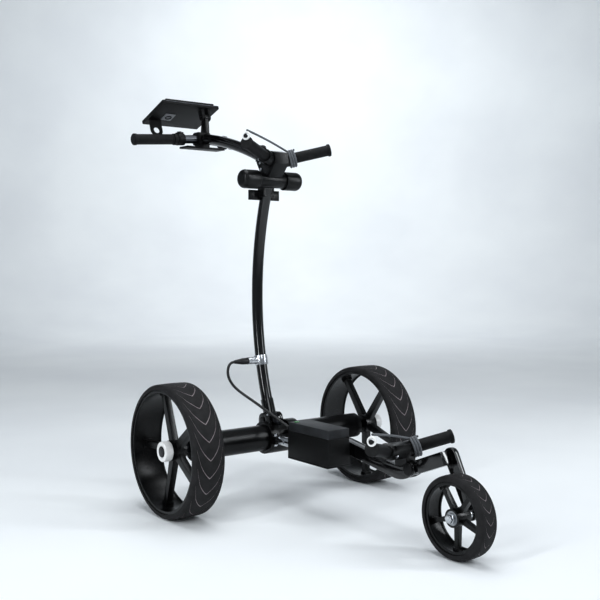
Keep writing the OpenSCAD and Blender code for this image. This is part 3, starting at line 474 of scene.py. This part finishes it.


# %% [markdown]
# The cord's sleeve is a braid. On the UV map, which runs along and round the cord, two crossing
# sets of slanted stripes give the over and under of its strands, about 1.5 mm each. The strands
# keep their own grey where they lie on top and turn dark where they go under: painted shade between the
# strands.

# %% Braided sleeve
def braid(name, dark, light, length_mm, strand_mm=1.5):
    material = bpy.data.materials.new(name)
    material.use_nodes = True
    tree = material.node_tree
    tree.nodes.clear()
    uv = add(tree, "SeparateXYZ", {0: add(tree, "TexCoord").outputs["UV"]})
    along, round_it = uv.outputs["X"], uv.outputs["Y"]
    slants = []
    for way in (1, -1):
        ahead = add(tree, "Math", {0: along, 1: length_mm / strand_mm / 2}, operation="MULTIPLY")
        across = add(tree, "Math", {0: round_it, 1: 4.0 * way, 2: ahead.outputs[0]}, operation="MULTIPLY_ADD")
        wave = add(tree, "Math", {0: across.outputs[0], 1: 2 * pi}, operation="MULTIPLY")
        slants.append(add(tree, "Math", {0: wave.outputs[0]}, operation="SINE"))
    over = add(tree, "Math", {0: slants[0].outputs[0], 1: slants[1].outputs[0]}, operation="MAXIMUM")
    strand_height_and_shade = add(tree, "MapRange", {"Value": over.outputs[0], "From Min": -0.6, "From Max": 1.0})
    # The tint runs from the dark colour where the strands go under, painted shade between them, to the
    # strands' own grey on top.
    tint = add(tree, "Mix", {0: strand_height_and_shade.outputs["Result"], 6: colour(dark), 7: colour(light)}, data_type="RGBA")
    relief = add(tree, "Bump", {"Height": strand_height_and_shade.outputs["Result"], "Strength": 0.6, "Distance": 0.0003})
    shader = add(tree, "BsdfPrincipled", {"Base Color": tint.outputs[2], "Normal": relief.outputs["Normal"],
                                          "Roughness": 0.72, "Sheen Weight": 0.25, "Sheen Roughness": 0.5})
    add(tree, "OutputMaterial", {"Surface": shader.outputs["BSDF"]})
    return material


# %% Both elastic cords
cradles = {"lower": (Vector((422, 25, 183)), 101, 10.5, "chassis"),
           "upper": (Vector((-2, 27, 817.5)), 110, 5.5, "mast")}
for where, (foot, arm_length, first, body) in cradles.items():
    route = elastic_route(foot, arm_length, first)
    long = length_of(route)
    # 1d1e20 is painted shade between the strands; 74777c is the strands' own grey.
    woven = braid(f"braided_polyester_{where}", "1d1e20", "74777c", long * 1000)
    name = f"{where}_elastic_cord"
    elastic = hand_over(cord_along(name, route, CORD_D / 1000, sides=3), name, body, woven,
                        [f"{where}_bungee"])
    print(where, "elastic cord:", round(long, 3), "m, UV", [layer.name for layer in elastic.data.uv_layers])

# %% [markdown]
# ## Rounded edges
# A CAD edge is perfectly sharp, and a real one never is: a casting has a radius, a folded plate a
# bend, a moulding a fillet, and each catches a thin line of light. A copy of each part is merged,
# its flat faces are made whole, and a Bevel modifier rounds it by the radius that suits how the
# part was made. The copy then stands for the CAD part.

# %% A part with rounded edges
body_of = {part: body for body, parts in frame["record"]["behaviour"]["bodies"].items() for part in parts}


def rounded(part, radius_mm, steps=3, sharp=40):
    source = frame["nodes"][part]
    piece = source.copy()
    piece.data = source.data.copy()
    for key in list(piece.keys()):
        del piece[key]
    piece.parent = None
    bpy.context.scene.collection.objects.link(piece)
    open_mesh(piece)
    mesh_ops.remove_doubles(threshold=0.00002)
    mesh_ops.dissolve_limited(angle_limit=radians(1.5))
    close_mesh(piece)
    with_modifier(piece, "BEVEL", width=radius_mm / 1000, segments=steps, limit_method="ANGLE",
                  angle_limit=radians(sharp), use_clamp_overlap=True)
    smooth(piece, 30)
    hand_over(piece, part + "_rounded", body_of[part], source.data.materials[0], [part])
    return piece


# %% The radius of each part's edges, in millimetres
edge_radii = {
    "chassis_spine": 4.5, "front_leg": 4.5, "front_fork": 2.5, "lower_bracket": 2.0, "head_block": 2.0,
    "cross_barrel": 1.5, "board_arm": 1.2, "axle_clamp": 1.5, "mast_foot": 1.5, "handle_hub": 2.5,
    "control_pods": 1.2, "speed_dial": 1.0, "scorecard_board": 1.6, "battery_tray": 0.8, "battery_case": 1.4,
    "battery_lid": 1.4, "clamp_knobs": 1.2, "grip_left": 1.0, "grip_right": 1.0, "lower_arm_sleeves": 1.0,
    "upper_arm_sleeves": 1.0, "hub_cap_left": 1.5, "hub_cap_right": 1.5, "release_button_left": 0.8,
    "release_button_right": 0.8, "mast_latch": 1.0, "rear_rim_left": 0.8, "rear_rim_right": 0.8,
    "front_rim": 0.8, "front_axle": 0.5, "clamp_bolts": 0.5, "hinge_pins": 0.8, "axle_caps": 1.2,
    "cable_clamp": 0.5, "battery_plug": 0.5, "strain_relief": 0.3, "power_button": 0.6,
}
shaped = {part: rounded(part, size) for part, size in edge_radii.items()}
for part, piece in shaped.items():
    print(part, len(piece.data.polygons), "faces", end="; ")

# %% [markdown]
# ## Tyres
# The tyres are solid rubber bands on drum-shaped rims, with a narrow groove in a V repeated round
# the tread. Only one repeat is modelled: a flat grid whose rows lean into the V. The first row is
# pushed down to make the groove. An array lays the repeats end to end, and each point is then
# moved from the flat strip to its place round the wheel, over the shoulder and down the side.


# %% A tyre from one repeat of its tread
def chevron_tyre(side, body, part, repeats, groove_mm, width_mm, radius_mm):
    low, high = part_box(part)
    centre, circle = (low + high) / 2, 2 * pi * radius_mm
    shoulder, crown, depth, thick = 6.0, 0.7, 0.3, 12.0
    tread = width_mm / 2 - shoulder
    bend_end = tread + shoulder * pi / 2
    side_end = bend_end + thick - crown - shoulder
    half = [tread * k / 7 for k in range(1, 8)]
    half += [tread + shoulder * pi / 2 * k / 4 for k in range(1, 5)] + [side_end]
    across = [-s for s in reversed(half)] + [0.0] + half
    repeat = circle / repeats
    ahead = [0.0] + [groove_mm + (repeat - groove_mm) * k / 6 for k in range(7)]
    mesh_ops.primitive_grid_add(x_subdivisions=len(across) - 1, y_subdivisions=len(ahead) - 1, size=1)
    tyre = bpy.context.object
    edge_from = 0.62  # the share of the half tread where the line turns to run along the edge
    for v in tyre.data.vertices:
        s = across[round((v.co.x + 0.5) * (len(across) - 1))]
        f = min(abs(s) / tread, 1.04)
        turn = max(0, f - edge_from) / (1 - edge_from)
        lean = tread * (0.75 * f + 0.7 * f * f) + 0.5 * repeat * turn ** 2
        v.co = (s, ahead[round((v.co.y + 0.5) * (len(ahead) - 1))] + lean, 0)
    tyre.data.materials.append(tread_rubber)
    tyre.data.materials.append(painted_groove_highlight)
    choose_faces(tyre, lambda face: face.index < len(across) - 1 and abs(face.center.x) < tread)
    mesh_ops.extrude_region_move(TRANSFORM_OT_translate={"value": (0, 0, -depth)})
    # The groove's faces take the pale finish, a painted highlight along the tread's lines.
    tyre.active_material_index = 1
    ops.material_slot_assign()
    close_mesh(tyre)
    with_modifier(tyre, "ARRAY", count=repeats, use_relative_offset=False, use_constant_offset=True,
                  constant_offset_displace=(0, repeat, 0))
    for v in tyre.data.vertices:
        s, sign = abs(v.co.x), (1 if v.co.x > 0 else -1)
        if s <= tread:
            y, drop = s, crown * (s / tread) ** 2
        elif s <= bend_end:
            a = (s - tread) / shoulder
            y, drop = tread + shoulder * sin(a), crown + shoulder * (1 - cos(a))
        else:
            y, drop = width_mm / 2, crown + shoulder + s - bend_end
        out, turn = (radius_mm - drop + v.co.z) / 1000, v.co.y / radius_mm
        v.co = (centre.x + out * cos(turn), centre.y + sign * y / 1000, centre.z + out * sin(turn))
    open_mesh(tyre)
    mesh_ops.remove_doubles(threshold=0.00002)
    mesh_ops.select_mode(type="EDGE")
    mesh_ops.select_all(action="DESELECT")
    mesh_ops.select_non_manifold()
    mesh_ops.bridge_edge_loops()
    mesh_ops.select_all(action="SELECT")
    mesh_ops.normals_make_consistent(inside=False)
    close_mesh(tyre)
    smooth(tyre, 38)
    hand_over(tyre, f"{side}_tyre_with_tread", body, None, [part])
    print(side, "tyre:", len(tyre.data.polygons), "faces, box", [round(v, 4) for v in tyre.dimensions])
    return tyre


# %% The three tyres
chevron_tyre("rear_left", "rear_wheel_left", "rear_tyre_left", 24, 2.4, 76, 150)
chevron_tyre("rear_right", "rear_wheel_right", "rear_tyre_right", 24, 2.4, 76, 150)
chevron_tyre("front", "front_wheel", "front_tyre", 22, 1.7, 42, 82)

# %% [markdown]
# ## Fixings and small fittings
# Socket screws hold the brackets together. Each is a short cylinder whose end face is inset and
# pushed in for the key. They are placed by workshop measures on the faces that they clamp.

# %% Socket screws
def socket_screw(name, place, radius, height, body):
    mesh_ops.primitive_cylinder_add(vertices=32, radius=radius / 1000, depth=height / 1000,
                                    location=at(*place), rotation=(pi / 2, 0, 0))
    screw = bpy.context.object
    choose_faces(screw, lambda face: face.normal.z > 0.9)
    mesh_ops.inset(thickness=radius * 0.45 / 1000, depth=0)
    mesh_ops.extrude_region_move(TRANSFORM_OT_translate={"value": (0, height * 0.5 / 1000, 0)})
    close_mesh(screw)
    with_modifier(screw, "BEVEL", width=0.0004, segments=2, limit_method="ANGLE", angle_limit=radians(50))
    smooth(screw, 35)
    return hand_over(screw, name, body, zinc_plate)


screws = {
    "mast": [((-44.2, -21, 810.5), 3.4), ((-40.1, -21, 795.7), 3.4), ((-23.3, -21, 782.5), 3.4)],
    "chassis": [((-8.2, -25.4, 201.4), 3.0), ((429.1, -22, 172.0), 3.4), ((443.0, -22, 176.5), 3.0)],
}
for body, places in screws.items():
    for number, (place, radius) in enumerate(places, 1):
        socket_screw(f"{body}_screw_{number}", place, radius, 3, body)
print(sum(map(len, screws.values())), "screws")

# %% [markdown]
# A bright tensioning bolt with a stepped head stands out of the front flange of the axle clamp,
# and a small green lamp on the battery's lid shows its charge.

# %% Tensioning bolt and charge lamp
mesh_ops.primitive_cylinder_add(vertices=32, radius=0.005, depth=0.022, location=at(61, -35, 150),
                                rotation=(0, pi / 2, 0))
bolt = bpy.context.object
choose_faces(bolt, lambda face: face.normal.z > 0.9)
mesh_ops.extrude_region_move()
bpy.ops.transform.resize(value=(1.5, 1.5, 1.5), center_override=at(72, -35, 150))
mesh_ops.extrude_region_move(TRANSFORM_OT_translate={"value": (0.006, 0, 0)})
close_mesh(bolt)
with_modifier(bolt, "BEVEL", width=0.0006, segments=2, limit_method="ANGLE", angle_limit=radians(50))
smooth(bolt, 35)
hand_over(bolt, "tension_bolt", "chassis", zinc_plate)
lamp_green = finish("moulded_acrylic_green", "1f7a2c", "2b9a3b", 6, 0.8, 0.05, (0.20, 0.30))
mesh_ops.primitive_cube_add(size=1, location=at(136, -46, 207.3), scale=(0.007, 0.012, 0.0016))
lamp = bpy.context.object
with_modifier(lamp, "BEVEL", width=0.0005, segments=2)
smooth(lamp, 35)
hand_over(lamp, "charge_lamp", "battery", lamp_green)
print("bolt and lamp:", [round(v, 4) for v in bolt.dimensions], [round(v, 4) for v in lamp.dimensions])

# %% [markdown]
# ## Under the board
# A grey plastic pad with a round dark socket is screwed under the board, for a counterweight or a
# clip. It is drawn flat at the board's height, then tipped with the board about its hinge.

# %% The pad and its socket
SLOPE = radians(20)


def on_board(u, v, w):
    return at(-348 + u * cos(SLOPE) - w * sin(SLOPE), v, 959 + u * sin(SLOPE) + w * cos(SLOPE))


pad_plastic = finish("moulded_abs_grey", "707174", "808184", 10, 0.6, 0.25, (0.40, 0.55))
mesh_ops.primitive_cube_add(size=1, location=on_board(-52, -72, 20.4), scale=(0.034, 0.030, 0.003),
                            rotation=(0, -SLOPE, 0))
pad = bpy.context.object
with_modifier(pad, "BEVEL", width=0.001, segments=2)
smooth(pad, 35)
hand_over(pad, "board_pad", "board", pad_plastic)
mesh_ops.primitive_cylinder_add(vertices=48, radius=0.009, depth=0.0025, location=on_board(-52, -72, 18.6),
                                rotation=(0, -SLOPE, 0))
socket = bpy.context.object
choose_faces(socket, lambda face: face.normal.z < -0.9 and face.area > 0.0001)
mesh_ops.inset(thickness=0.0025, depth=0)
mesh_ops.extrude_region_move(TRANSFORM_OT_translate={"value": on_board(0, 0, 1.8) - on_board(0, 0, 0)})
close_mesh(socket)
smooth(socket, 35)
hand_over(socket, "board_pad_socket", "board", case_plastic)
mesh_ops.primitive_cube_add(size=1, location=on_board(17.8, -37, 28.4), scale=(0.0014, 0.150, 0.0018),
                            rotation=(0, -SLOPE, 0))
strip = bpy.context.object
with_modifier(strip, "BEVEL", width=0.0004, segments=2)
hand_over(strip, "board_edge_strip", "board", satin_bar)
print("pad", [round(v, 4) for v in pad.dimensions], "socket", len(socket.data.polygons), "faces")
